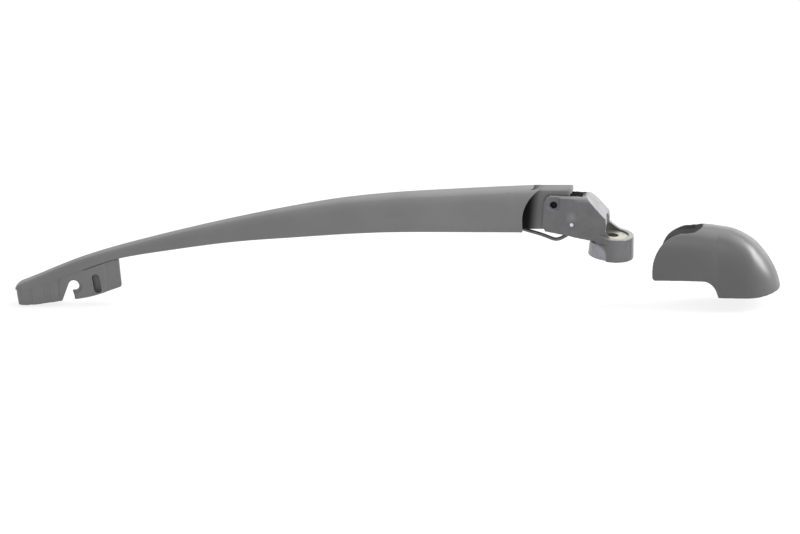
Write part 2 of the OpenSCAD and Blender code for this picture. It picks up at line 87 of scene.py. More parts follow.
class SpringSizes(bpy.types.PropertyGroup):
    """Sizes in millimetres of the spring and its hook."""

    coil_d: FloatProperty(name="Coil diameter", description="Outside of the coil", default=9.6)
    wire_d: FloatProperty(name="Spring wire", description="Wire of the spring", default=1.5)
    turns: IntProperty(name="Turns", description="Turns of the coil", default=22, min=4, max=60)
    hook_d: FloatProperty(name="Hook wire", description="Wire of the hook", default=2.0)


class CapSizes(bpy.types.PropertyGroup):
    """Sizes in millimetres of the cover cap, in the arm's frame where it fits."""

    wall: FloatProperty(name="Wall", description="Wall of the cap", default=1.8)
    half_w: FloatProperty(name="Half width", description="Half width over the boss", default=16.0)
    off_x: FloatProperty(name="Set off", description="Distance from its fitted place", default=70.1)
    off_z: FloatProperty(name="Set down", description="Drop from its fitted place", default=22.8)


def colour(name, text, value):
    """A colour that the user can change."""
    return FloatVectorProperty(
        name=name, description=text, subtype="COLOR", size=3, min=0, max=1, default=value
    )


class Finishes(bpy.types.PropertyGroup):
    """Colours of the finishes."""

    arm: colour("Arm plastic", "Grained grey plastic of the arm", (0.134, 0.134, 0.136))
    cap: colour("Cap plastic", "Grey plastic of the cap", (0.064, 0.064, 0.066))
    head: colour("Head coating", "Dark coating of the casting", (0.070, 0.070, 0.073))
    # A paler bluish tone painted where light glances off the boss and the cheeks: painted reflection.
    painted_reflection: colour("Head bloom", "Paler tone where the coating is thin", (0.205, 0.200, 0.232))
    insert: colour("Insert metal", "Bare metal of the insert", (0.34, 0.335, 0.28))
    wire: colour("Wire steel", "Dark steel of spring and hook", (0.13, 0.13, 0.135))
    pin: colour("Pin steel", "Steel of the pins", (0.62, 0.62, 0.63))
    # Near black for the hinge pin's ends: painted shade that darkens the hinge holes.
    hinge_pin_shade: colour("Hinge pin steel", "Blackened steel of the hinge pin", (0.012, 0.012, 0.013))
    floor: colour("Floor", "Pale floor", (0.9, 0.9, 0.9))


# Foot of the channel's end edge, and the length over which the tip rounds off.
ROOT_X = -17.6
TIP_ROUND = 4.5
# Middles of the hook pin, the anchor pin and the hook's far eye, as (x, z) in the arm's frame.
HOOK_AT = (9.4, -11.2)
ANCHOR_AT = (-87, -7.8)
EYE_AT = (-34.4, -8.5)
# Shallow panels in the clip's flanks, as (left, right, top), with left and right from the tip.
CLIP_PANELS = ((7.8, 9.6, -48), (14.9, 19.7, -45.6), (24.1, 25, -41), (50.3, 61, -20))
# The cap's crown as stations of (x, z), and its open end as stations of (z, x).
CAP_TOP = (
    (-18, 8.3), (-7.2, 8.9), (4.8, 9.0), (12.8, 8.8), (24.8, 7.2), (31.2, 4.6), (37.6, 0.2),
    (41.2, -3.9), (45.6, -10.2), (49.2, -17.6), (51.4, -26),
)
CAP_END = (
    (-30, -16.1), (-14, -15.9), (-7, -14.7), (-0.4, -11.4), (3.2, -7.5), (5.6, -3.2), (7.3, 1.0),
    (9.5, 6.8),
)
# Painted reflections on the casting, paler spots where light glances off it: middle in the head's frame,
# radius, blur and strength.
PAINTED_REFLECTION_SPOTS = (
    ((-7.5, -8.5, 1.5), 7.2, 1.6, 0.9),
    ((-7.5, 8.5, 1.5), 7.2, 1.6, 0.9),
    ((-22.5, -8, 21.5), 1.5, 5, 0.6),
    ((-24.5, 8, 21), 1.5, 5, 0.5),
)
# Painted shade in the neck's cove under the shell's end edge: x where it is darkest, x where it ends, and
# the share of the tone left.
NECK_PAINTED_SHADE = (-46.5, -39.0, 0.02)
# The middle of a noise's range, which its ramps spread over.
NOISE_LOW, NOISE_HIGH = 0.3, 0.7


def slope_at(line, i):
    """Slope of a line of stations at its station i."""
    a, b = max(i - 1, 0), min(i + 1, len(line) - 1)
    return (line[b][1] - line[a][1]) / (line[b][0] - line[a][0])


def along(line, x):
    """Smooth height of a line of stations at x."""
    i = 0
    while i < len(line) - 2 and x > line[i + 1][0]:
        i += 1
    p, q = line[i], line[i + 1]
    w = q[0] - p[0]
    t = (x - p[0]) / w
    value = p[1] * (1 + 2 * t) * (1 - t) ** 2 + q[1] * t * t * (3 - 2 * t)
    return value + w * slope_at(line, i) * t * (1 - t) ** 2 - w * slope_at(line, i + 1) * t * t * (1 - t)


def settings():
    """The sizes and colours that the panel shows."""
    return bpy.context.scene.wiper_arm


def from_tip(distance):
    """Place along the arm at a distance from its tip."""
    return -settings().arm.length + distance


def part_way(share):
    """Place along the arm at a share of its length from the hinge."""
    return -settings().arm.length * share


def back_line():
    """The arm's upper side line, as places along the arm and heights, from tip to root."""
    return (
        (from_tip(0), -47.2), (from_tip(8), -44.1), (from_tip(38), -31.95), (part_way(0.755), -21.65),
        (part_way(0.588), -9.7), (part_way(0.423), -0.2), (part_way(0.312), 3.7), (-50, 6.3),
        (-10, 8.1), (20, 8.8),
    )


def belly_line():
    """The arm's lower side line, from tip to root."""
    return (
        (from_tip(0), -49.6), (from_tip(8), -48.6), (from_tip(39), -37.3), (from_tip(57), -31.3),
        (part_way(0.698), -25.5), (part_way(0.588), -21), (part_way(0.476), -18.2),
        (part_way(0.366), -15.8), (-84, -14.8), (-40, -14.7), (20, -15),
    )


def hinge_frame():
    """Frame in metres at the hinge, level along the arm's root. The photograph is level along it too."""
    head = settings().head
    spot = Vector((-head.hinge_x, 0, head.hinge_z)) * MM
    return Matrix.Translation(spot) @ Matrix.Rotation(-settings().arm.droop, 4, "Y")


def arm_place():
    """From the arm's millimetres to the model's metres."""
    return hinge_frame() @ Matrix.Scale(MM, 4)


def head_place():
    """From the head's millimetres to the model's metres."""
    return Matrix.Scale(MM, 4)


def add_object(name, mesh):
    """Links a new object at the origin."""
    piece = bpy.data.objects.new(name, mesh)
    bpy.context.scene.collection.objects.link(piece)
    return piece


def solid(name, verts, faces):
    """A closed mesh from points and faces, with its faces turned outwards."""
    mesh = bpy.data.meshes.new(name)
    mesh.from_pydata([tuple(v) for v in verts], [], [tuple(f) for f in faces])
    work = bmesh.new()
    work.from_mesh(mesh)
    bmesh.ops.recalc_face_normals(work, faces=work.faces)
    work.to_mesh(mesh)
    work.free()
    return add_object(name, mesh)


def prism_faces(n):
    """The two ends and the sides of a prism between rings of n points."""
    ends = [range(n), range(2 * n - 1, n - 1, -1)]
    return ends + [(i, i + n, (i + 1) % n + n, (i + 1) % n) for i in range(n)]


def side_prism(name, outline, width, middle=0.0):
    """Extrudes a side outline of (x, z) across the arm."""
    near, far = middle - width / 2, middle + width / 2
    verts = [(x, near, z) for x, z in outline] + [(x, far, z) for x, z in outline]
    return solid(name, verts, prism_faces(len(outline)))


def plan_prism(name, outline, low, high):
    """Extrudes a plan outline of (x, y) upwards."""
    verts = [(x, y, low) for x, y in outline] + [(x, y, high) for x, y in outline]
    return solid(name, verts, prism_faces(len(outline)))


def end_prism(name, outline, left, right):
    """Extrudes an end outline of (y, z) along the arm."""
    verts = [(left, y, z) for y, z in outline] + [(right, y, z) for y, z in outline]
    return solid(name, verts, prism_faces(len(outline)))


def box(name, low, high):
    """A box between two corners."""
    (x0, y0, z0), (x1, y1, z1) = low, high
    return plan_prism(name, [(x0, y0), (x1, y0), (x1, y1), (x0, y1)], z0, z1)


def ring_points(centre, radius, start=0.0, end=360.0, steps=64, closed=True):
    """Points round a circle, or along an arc with both its ends when it isn't closed."""
    count = steps if closed else steps + 1
    turn = math.radians(end - start)
    begin = math.radians(start)
    return [
        (
            centre[0] + radius * math.cos(begin + turn * i / steps),
            centre[1] + radius * math.sin(begin + turn * i / steps),
        )
        for i in range(count)
    ]


def cross_rod(name, centre, diameter, width):
    """A rod across the arm, round a middle of (x, z)."""
    return side_prism(name, ring_points(centre, diameter / 2), width)


def upright(name, low_d, high_d, low, high):
    """A cylinder or cone on the spindle's axis."""
    steps = 96
    lower = ring_points((0, 0), low_d / 2, steps=steps)
    upper = ring_points((0, 0), high_d / 2, steps=steps)
    verts = [(x, y, low) for x, y in lower] + [(x, y, high) for x, y in upper]
    return solid(name, verts, prism_faces(steps))


def baked(piece):
    """Turns a piece's modifiers into plain mesh."""
    view = bpy.context.evaluated_depsgraph_get()
    mesh = bpy.data.meshes.new_from_object(piece.evaluated_get(view))
    old = piece.data
    piece.modifiers.clear()
    piece.data = mesh
    bpy.data.meshes.remove(old)
    return piece


def combine(base, tools, how):
    """Joins, cuts or trims a base with other closed meshes, which are used up."""
    for tool in tools:
        step = base.modifiers.new("step", "BOOLEAN")
        step.operation = how
        step.solver = "EXACT"
        step.object = tool
        baked(base)
        bpy.data.objects.remove(tool)
    return base


def joined(base, *tools):
    """Adds meshes to a base."""
    return combine(base, tools, "UNION")


def cut(base, *tools):
    """Takes meshes away from a base."""
    return combine(base, tools, "DIFFERENCE")


def trimmed(base, *tools):
    """Keeps what a base shares with each mesh."""
    return combine(base, tools, "INTERSECT")


def moulded(piece, voxel, passes):
    """Gives a solid evenly rounded edges, as a cast or moulded piece has."""
    skin = piece.modifiers.new("skin", "REMESH")
    skin.mode = "VOXEL"
    skin.voxel_size = voxel
    skin.use_smooth_shade = True
    ease = piece.modifiers.new("ease", "SMOOTH")
    ease.factor = 0.5
    ease.iterations = passes
    return baked(piece)


def shade(piece, limit=math.radians(32)):
    """Smooth faces with sharp edges where the surface turns more than the limit."""
    work = bmesh.new()
    work.from_mesh(piece.data)
    for face in work.faces:
        face.smooth = True
    for edge in work.edges:
        edge.smooth = not (len(edge.link_faces) == 2 and edge.calc_face_angle(0) > limit)
    work.to_mesh(piece.data)
    work.free()


def finished(piece, place, material, body, slot, *nodes):
    """Puts a piece in place with its material, rides it on its body and hides the solids of the frame that
    it stands for.
    """
    piece.data.transform(place)
    piece.data.materials.clear()
    piece.data.materials.append(material)
    for face in piece.data.polygons:
        face.material_index = 0
    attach(piece, body)
    if nodes:
        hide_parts(*nodes)
    return piece


def section(half, low, high, steps, draft, square=5.0):
    """Half of a squared-off oval, lower edge to lower edge, as (across, up)."""
    points = []
    for i in range(steps + 1):
        a = math.pi * i / steps
        s = math.sin(a) ** (2 / square) if 0 < i < steps else 0.0
        side = math.copysign(abs(math.cos(a)) ** (2 / square), math.cos(a))
        points.append((side * half * (1 - draft * s), low + (high - low) * s))
    return points


def edge_x(z):
    """End edge of the shell seen from the side: straight at its foot, then an arc."""
    radius, foot, highest = 20, -9.5, 19
    h = min(max(0.0, z - foot), highest)
    return ROOT_X + radius - math.sqrt(radius * radius - h * h)


def tip_share(x, length):
    """How far the round tip has opened at x, from 0 to 1."""
    t = min(1.0, max(0.0, (x + length + 0.4) / TIP_ROUND))
    return math.sqrt(1 - (1 - t) ** 2)


def arm_half(x):
    """Half width of the channel at x."""
    arm = settings().arm
    tip, root = arm.tip_half, arm.root_half
    line = (
        (-arm.length, tip), (from_tip(56), tip + 0.2), (part_way(0.64), tip + 0.9),
        (part_way(0.403), root - 1.6), (-70, root - 0.5), (ROOT_X, root), (20, root),
    )
    blunt = 0.25
    return along(line, x) * (blunt + (1 - blunt) * tip_share(x, arm.length))


def arm_back(x):
    """Height of the channel's back at x, which drops at the tip."""
    drop = 2.2
    return along(back_line(), x) - drop * (1 - tip_share(x, settings().arm.length))


def arm_belly(x):
    """Height of the channel's lower edge at x."""
    return along(belly_line(), x)


def lofted(name, rings):
    """Closed skin over rings of equal length, with troughs closed at both ends."""
    n = len(rings[0])
    verts = [p for ring in rings for p in ring]
    faces = []
    for i in range(len(rings) - 1):
        for j in range(n):
            a, b = i * n + j, i * n + (j + 1) % n
            faces.append((a, b, b + n, a + n))
    half = n // 2
    for start in (0, (len(rings) - 1) * n):
        faces += [(start + j, start + j + 1, start + n - 2 - j, start + n - 1 - j) for j in range(half - 1)]
    return solid(name, verts, faces)


# The finishes read Object coordinates, so their grain keeps its real size.
def new_material(name):
    """A node material with its tree and its shader."""
    material = bpy.data.materials.new(name)
    material.use_nodes = True
    tree = material.node_tree
    return material, tree, tree.nodes["Principled BSDF"]


def noise(tree, scale, detail=2.0, rough=0.5):
    """Noise on Object coordinates, with about scale spots to a metre."""
    coords = tree.nodes.get("Texture Coordinate") or tree.nodes.new("ShaderNodeTexCoord")
    node = tree.nodes.new("ShaderNodeTexNoise")
    node.inputs["Scale"].default_value = scale
    node.inputs["Detail"].default_value = detail
    node.inputs["Roughness"].default_value = rough
    tree.links.new(coords.outputs["Object"], node.inputs["Vector"])
    return node


def tinted(tree, source, low, high, target=None):
    """Turns a noise into a tone between two colours."""
    ramp = tree.nodes.new("ShaderNodeValToRGB")
    ramp.color_ramp.elements[0].position = NOISE_LOW
    ramp.color_ramp.elements[1].position = NOISE_HIGH
    ramp.color_ramp.elements[0].color = (*low, 1)
    ramp.color_ramp.elements[1].color = (*high, 1)
    tree.links.new(source, ramp.inputs["Fac"])
    if target:
        tree.links.new(ramp.outputs["Color"], target)
    return ramp


def ranged(tree, source, low, high, target):
    """Turns a noise into a value between two values."""
    node = tree.nodes.new("ShaderNodeMapRange")
    node.inputs["From Min"].default_value = NOISE_LOW
    node.inputs["From Max"].default_value = NOISE_HIGH
    node.inputs["To Min"].default_value = low
    node.inputs["To Max"].default_value = high
    tree.links.new(source, node.inputs["Value"])
    tree.links.new(node.outputs["Result"], target)


def bumped(tree, shader, source, strength, depth, below=None):
    """Raises a surface by a noise, on top of the bump below it."""
    bump = tree.nodes.new("ShaderNodeBump")
    bump.inputs["Strength"].default_value = strength
    bump.inputs["Distance"].default_value = depth
    tree.links.new(source, bump.inputs["Height"])
    if below is not None:
        tree.links.new(below.outputs["Normal"], bump.inputs["Normal"])
    tree.links.new(bump.outputs["Normal"], shader.inputs["Normal"])
    return bump


def shares(base, low, high):
    """A darker and a paler tone of a colour."""
    return tuple(c * low for c in base), tuple(c * high for c in base)


def grained_plastic(name, base, rough, grain, painted_shade=None, gloss=0.32):
    """Satin plastic with a fine spark-eroded grain, slow drifts of tone and gloss, and painted shade that
    darkens it along x.
    """
    material, tree, shader = new_material(name)
    drift = noise(tree, 28, 3)
    tone = tinted(tree, drift.outputs["Fac"], *shares(base, 0.93, 1.07), shader.inputs["Base Color"])
    # Painted shade: the tone fades to a dark share along x, standing in for the shade in the neck's cove.
    if painted_shade:
        split = tree.nodes.new("ShaderNodeSeparateXYZ")
        tree.links.new(tree.nodes["Texture Coordinate"].outputs["Object"], split.inputs["Vector"])
        fade = tree.nodes.new("ShaderNodeMapRange")
        fade.interpolation_type = "SMOOTHSTEP"
        fade.inputs["From Min"].default_value = painted_shade[0] * MM
        fade.inputs["From Max"].default_value = painted_shade[1] * MM
        fade.inputs["To Min"].default_value = painted_shade[2]
        tree.links.new(split.outputs["X"], fade.inputs["Value"])
        dim = tree.nodes.new("ShaderNodeVectorMath")
        dim.operation = "SCALE"
        tree.links.new(tone.outputs["Color"], dim.inputs[0])
        tree.links.new(fade.outputs["Result"], dim.inputs["Scale"])
        tree.links.new(dim.outputs["Vector"], shader.inputs["Base Color"])
    ranged(tree, noise(tree, 90, 4).outputs["Fac"], rough - 0.04, rough + 0.05, shader.inputs["Roughness"])
    swell = bumped(tree, shader, noise(tree, 160, 2).outputs["Fac"], 0.10, 0.0002)
    bumped(tree, shader, noise(tree, grain, 4, 0.6).outputs["Fac"], 0.25, 0.00006, swell)
    shader.inputs["IOR"].default_value = 1.5
    shader.inputs["Specular IOR Level"].default_value = gloss
    return material


def painted_reflection_share(tree, patches):
    """Share of painted reflection: 1 inside each round patch, fading over its blur, broken up by a mottle.
    """
    coords = tree.nodes.get("Texture Coordinate")
    mottle = noise(tree, 260, 4, 0.65).outputs["Fac"]
    total = None
    for spot, radius, blur, weight in patches:
        away = tree.nodes.new("ShaderNodeVectorMath")
        away.operation = "DISTANCE"
        away.inputs[1].default_value = [v * MM for v in spot]
        tree.links.new(coords.outputs["Object"], away.inputs[0])
        shift = tree.nodes.new("ShaderNodeMath")
        shift.operation = "MULTIPLY_ADD"
        shift.inputs[1].default_value = blur * MM
        tree.links.new(mottle, shift.inputs[0])
        tree.links.new(away.outputs["Value"], shift.inputs[2])
        fade = tree.nodes.new("ShaderNodeMapRange")
        fade.inputs["From Min"].default_value = (radius + blur) * MM
        fade.inputs["From Max"].default_value = radius * MM
        fade.inputs["To Max"].default_value = weight
        tree.links.new(shift.outputs[0], fade.inputs["Value"])
        if total is None:
            total = fade.outputs["Result"]
            continue
        most = tree.nodes.new("ShaderNodeMath")
        most.operation = "MAXIMUM"
        tree.links.new(total, most.inputs[0])
        tree.links.new(fade.outputs["Result"], most.inputs[1])
        total = most.outputs[0]
    return total


def coated_casting(name, base, pale, patches):
    """Dark coating over a die casting, with soft orange peel and paler patches of painted reflection."""
    material, tree, shader = new_material(name)
    coat = tinted(tree, noise(tree, 90, 4, 0.6).outputs["Fac"], *shares(base, 0.84, 1.22))
    painted_reflection = tinted(tree, noise(tree, 420, 3).outputs["Fac"], *shares(pale, 0.86, 1.08))
    blend = tree.nodes.new("ShaderNodeMix")
    blend.data_type = "RGBA"
    # Inputs 6 and 7 and output 2 of a colour mix are its two colours and its result.
    tree.links.new(painted_reflection_share(tree, patches), blend.inputs["Factor"])
    tree.links.new(coat.outputs["Color"], blend.inputs[6])
    tree.links.new(painted_reflection.outputs["Color"], blend.inputs[7])
    tree.links.new(blend.outputs[2], shader.inputs["Base Color"])
    ranged(tree, noise(tree, 140, 3).outputs["Fac"], 0.30, 0.42, shader.inputs["Roughness"])
    peel = bumped(tree, shader, noise(tree, 320, 2).outputs["Fac"], 0.16, 0.0002)
    bumped(tree, shader, noise(tree, 1600, 3).outputs["Fac"], 0.12, 0.00005, peel)
    shader.inputs["Coat Weight"].default_value = 0.35
    shader.inputs["Coat Roughness"].default_value = 0.25
    return material


def bare_metal(name, base, rough, scratch):
    """Machined metal with fine uneven gloss."""
    material, tree, shader = new_material(name)
    shader.inputs["Metallic"].default_value = 1.0
    tinted(tree, noise(tree, 300, 4).outputs["Fac"], *shares(base, 0.86, 1.08), shader.inputs["Base Color"])
    ranged(tree, noise(tree, 900, 4).outputs["Fac"], rough - 0.06, rough + 0.08, shader.inputs["Roughness"])
    bumped(tree, shader, noise(tree, scratch, 3).outputs["Fac"], 0.15, 0.00005)
    return material


def finish(name):
    """One material of each kind, made at its first use."""
    known = bpy.data.materials.get(name)
    if known:
        return known
    tones = settings().finishes
    makers = {
        "arm_grained_plastic": lambda: grained_plastic(name, tones.arm, 0.42, 2600),
        # The neck's tone darkens towards the shell's edge: painted shade in the cove.
        "neck_plastic_painted_shade": lambda: grained_plastic(name, tones.arm, 0.5, 2600, NECK_PAINTED_SHADE, 0.08),
        "cap_satin_plastic": lambda: grained_plastic(name, tones.cap, 0.37, 3000, gloss=0.5),
        # The head's coating carries painted reflections as paler patches.
        "head_coating_painted_reflection": lambda: coated_casting(name, tones.head, tones.painted_reflection, PAINTED_REFLECTION_SPOTS),
        "insert_bare_metal": lambda: bare_metal(name, tones.insert, 0.36, 1800),
        "wire_dark_steel": lambda: bare_metal(name, tones.wire, 0.38, 2200),
        "pin_plain_steel": lambda: bare_metal(name, tones.pin, 0.32, 2000),
        # Painted shade: the hinge pin is near black so that the hinge holes read dark.
        "hinge_pin_painted_shade": lambda: bare_metal(name, tones.hinge_pin_shade, 0.5, 2000),
    }
    return makers[name]()


def dress_node(node, material):
    """Gives a solid of the frame a better material."""
    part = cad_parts[node]
    part.data.materials.clear()
    part.data.materials.append(material)


class WIPER_OT_arm_channel(bpy.types.Operator):
    """Loft the arm's channel from its tip to its curved end edge"""

    bl_idname = "wiper.arm_channel"
    bl_label = "Arm channel"

    def execute(self, context):
        arm = settings().arm
        steps, stations, dense = 48, 170, 26
        pull_l = 40
        rings = []
        for i in range(stations + 1):
            if i < dense:
                x = -arm.length + TIP_ROUND * (i / dense) ** 2
            else:
                rest = arm.length - TIP_ROUND + ROOT_X
                x = -arm.length + TIP_ROUND + rest * (i - dense) / (stations - dense)
            low, high = arm_belly(x), arm_back(x)
            share = min(1.0, max(0.05, (x + arm.length - 1) / 6))
            outer = section(arm_half(x), low, high, steps, arm.draft)
            roof = low + (high - low - arm.wall) * share
            inner = section(max(0.5, arm_half(x) - arm.wall), low, roof, steps, arm.draft)
            pull = max(0.0, (x - ROOT_X + pull_l) / pull_l) ** 2
            ring = []
            for y, z in outer + inner[::-1]:
                sx = x + pull * (edge_x(z) - ROOT_X)
                lift = (arm_back(sx) - high) * (z - low) / (high - low)
                ring.append((sx, y, z + lift))
            rings.append(ring)
        piece = lofted("arm_channel", rings)
        shade(piece)
        finished(piece, arm_place(), finish("arm_grained_plastic"), "arm", "arm_plastic", "arm_shell")
        return {"FINISHED"}


class WIPER_OT_arm_neck(bpy.types.Operator):
    """Build the neck between the cheeks with its hinge eye and tongue"""

    bl_idname = "wiper.arm_neck"
    bl_label = "Arm neck"

    def execute(self, context):
        arm = settings().arm
        back_x, top, low = ROOT_X - 7.8, 8.2, -14.4
        cove_x, cove_r = ROOT_X - 6, 8
        fill, half = arm.root_half - 0.9, arm.neck_w / 2
        tip, eye_d, bore_d = arm.tongue_l, 10, 4.1
        plan = [(back_x, fill), (cove_x, fill)]
        plan += ring_points((cove_x + cove_r, half + cove_r), cove_r, 213, 270, 14, closed=False)
        plan += ring_points((tip - 2, half - 2), 2, 90, 0, 6, closed=False)
        plan += [(x, -y) for x, y in plan[::-1]]
        side = [
            (back_x, low), (0.6, low), (0.6, top), (ROOT_X + 7, top), (ROOT_X + 3, top - 0.8),
            (back_x, top - 1.6),
        ]
        neck = side_prism("arm_neck", side, 2 * fill)
        tongue = box("tongue", (ROOT_X + 7, -fill, top - arm.tongue_t), (tip, fill, top))
        eye = cross_rod("eye", (0, 0), eye_d, 2 * fill)
        pad = box("pad", (0, -fill, top - arm.tongue_t - 1.4), (tip - 1.2, fill, top - 1))
        joined(neck, tongue, eye, pad)
        roof = section(arm.root_half - 0.8, -15, top, 24, arm.draft)
        trimmed(neck, plan_prism("plan", plan, -30, 30), end_prism("roof", roof, back_x - 1, tip + 2))
        cut(
            neck,
            cross_rod("pin_bore", (0, 0), bore_d, 30),
            box("wire_way", (back_x - 1, -2.5, -20), (-5.8, 2.5, -1)),
            box("eye_way", (-8, -2.5, -20), (6, 2.5, -5)),
        )
        moulded(neck, 0.3, 5)
        finished(neck, arm_place(), finish("neck_plastic_painted_shade"), "arm", "arm_plastic", "arm_shell")
        self.anchor_bosses()
        return {"FINISHED"}

    def anchor_bosses(self):
        """The two bosses in the channel that hold the anchor pin."""
        x, z = ANCHOR_AT
        clear, thick, reach, hole_d = 11, 1.4, 3, 3
        for s in (-1, 1):
            y = s * (clear / 2 + thick)
            boss = box("anchor_boss", (x - reach, y - thick, z - reach), (x + reach, y + thick, z + reach))
            cut(boss, cross_rod("hole", ANCHOR_AT, hole_d, 40))
            boss.name = "anchor_boss_" + ("near" if s < 0 else "far")
            shade(boss)
            finished(boss, arm_place(), finish("arm_grained_plastic"), "arm", "arm_plastic")


def clip_low(x):
    """Height of the clip's lower edge at x."""
    line = (
        (from_tip(-1), -57.9), (from_tip(10.5), -57.6), (from_tip(24.5), -55.6), (from_tip(42), -52.9),
        (from_tip(59.2), -47.2),
    )
    return along(line, x)


def notch_outline(at, radius, first):
    """The notch from the side: an arc round the blade's pin, and its mouth down to below the clip."""
    x, z = at
    arc = ring_points(at, radius, first, 140, 36, closed=False)
    arc += [(x - radius - 0.3, z + 0.3), (x - radius - 0.7, z - 0.9)]
    return arc + [(x - 8.5, z - 13), (x - 10.6, -70), (x + 0.1, -70), (x + 0.1, z - 6)]


class WIPER_OT_blade_clip(bpy.types.Operator):
    """Build the clip with its notch, jaw, panels and recess"""

    bl_idname = "wiper.blade_clip"
    bl_label = "Blade clip"

    def execute(self, context):
        arm = settings().arm
        left, right, foot = from_tip(0.3), from_tip(58.1), from_tip(59.2)
        half = arm.tip_half - 0.1
        xs = [left + (right - left) * i / 30 for i in range(31)]
        top = [(x, arm_belly(x) + (0.2 if x < from_tip(38) else -0.35)) for x in xs]
        under = [(x, clip_low(x)) for x in xs[:0:-1]]
        end = [(left + 1.5, clip_low(left)), (left + 0.9, -55), (left, -50.8)]
        outline = [*top, (foot, -46.4), (foot - 0.5, -47.3), *under, *end]
        clip = side_prism("blade_clip_body", outline, 2 * half)
        r = half - 0.8
        plan = ring_points((left + r, half - r), r, 180, 90, 8, closed=False)
        plan += [(foot - 6.4, half), (foot + 0.6, -half + 0.6), (foot + 0.6, -half)]
        plan += [(x, -y) for x, y in ring_points((left + r, half - r), r, 90, 180, 8, closed=False)]
        trimmed(clip, plan_prism("plan", plan, -70, -20))
        bond = [(x, arm_belly(x) + 1.5) for x in xs[4:-2]] + [(x, arm_belly(x) - 1) for x in xs[-3:3:-1]]
        joined(clip, side_prism("bond", bond, 2 * (arm.tip_half - arm.wall) - 1.6))
        self.open_notch(clip, half)
        deep, pill_r, pill_w = 0.35, 2.1, 7.6
        for s in (-1, 1):
            for a, b, high in CLIP_PANELS:
                near, far = s * half - deep, s * half + deep
                cut(clip, box("panel", (from_tip(a), near, -62), (from_tip(b), far, high)))
            pill = ring_points((from_tip(45.1), -42.2), pill_r, 10, 190, 16, closed=False)
            pill += ring_points((from_tip(45.9), -48.9), pill_r, 190, 370, 16, closed=False)
            cut(clip, side_prism("recess", pill, pill_w, s * half))
        moulded(clip, 0.21, 3)
        finished(clip, arm_place(), finish("arm_grained_plastic"), "arm", "arm_plastic", "blade_clip")
        return {"FINISHED"}

    def open_notch(self, clip, half):
        """Cut the notch with its set-back jaw, and open the clip behind the jaw."""
        at, grip, set_back, jaw = (from_tip(32.7), -46.8), 2.95, 0.8, 2.4
        mouth = (at[0] + 0.7, at[1] - 0.3)
        cut(clip, side_prism("notch", notch_outline(at, grip, -106), 2 * half + 2))
        cut(clip, side_prism("step", notch_outline(mouth, grip + 0.85, -84), 2 * set_back, -half))
        open_w, open_y = 20, -half + set_back + jaw + 10
        room = [(-3.6, 2.5), (-2, 4.2), (6, 4.2), (6, -23.3), (-11.6, -23.3), (-9.6, -13)]
        cut(clip, side_prism("behind", [(at[0] + x, at[1] + z) for x, z in room], open_w, open_y))


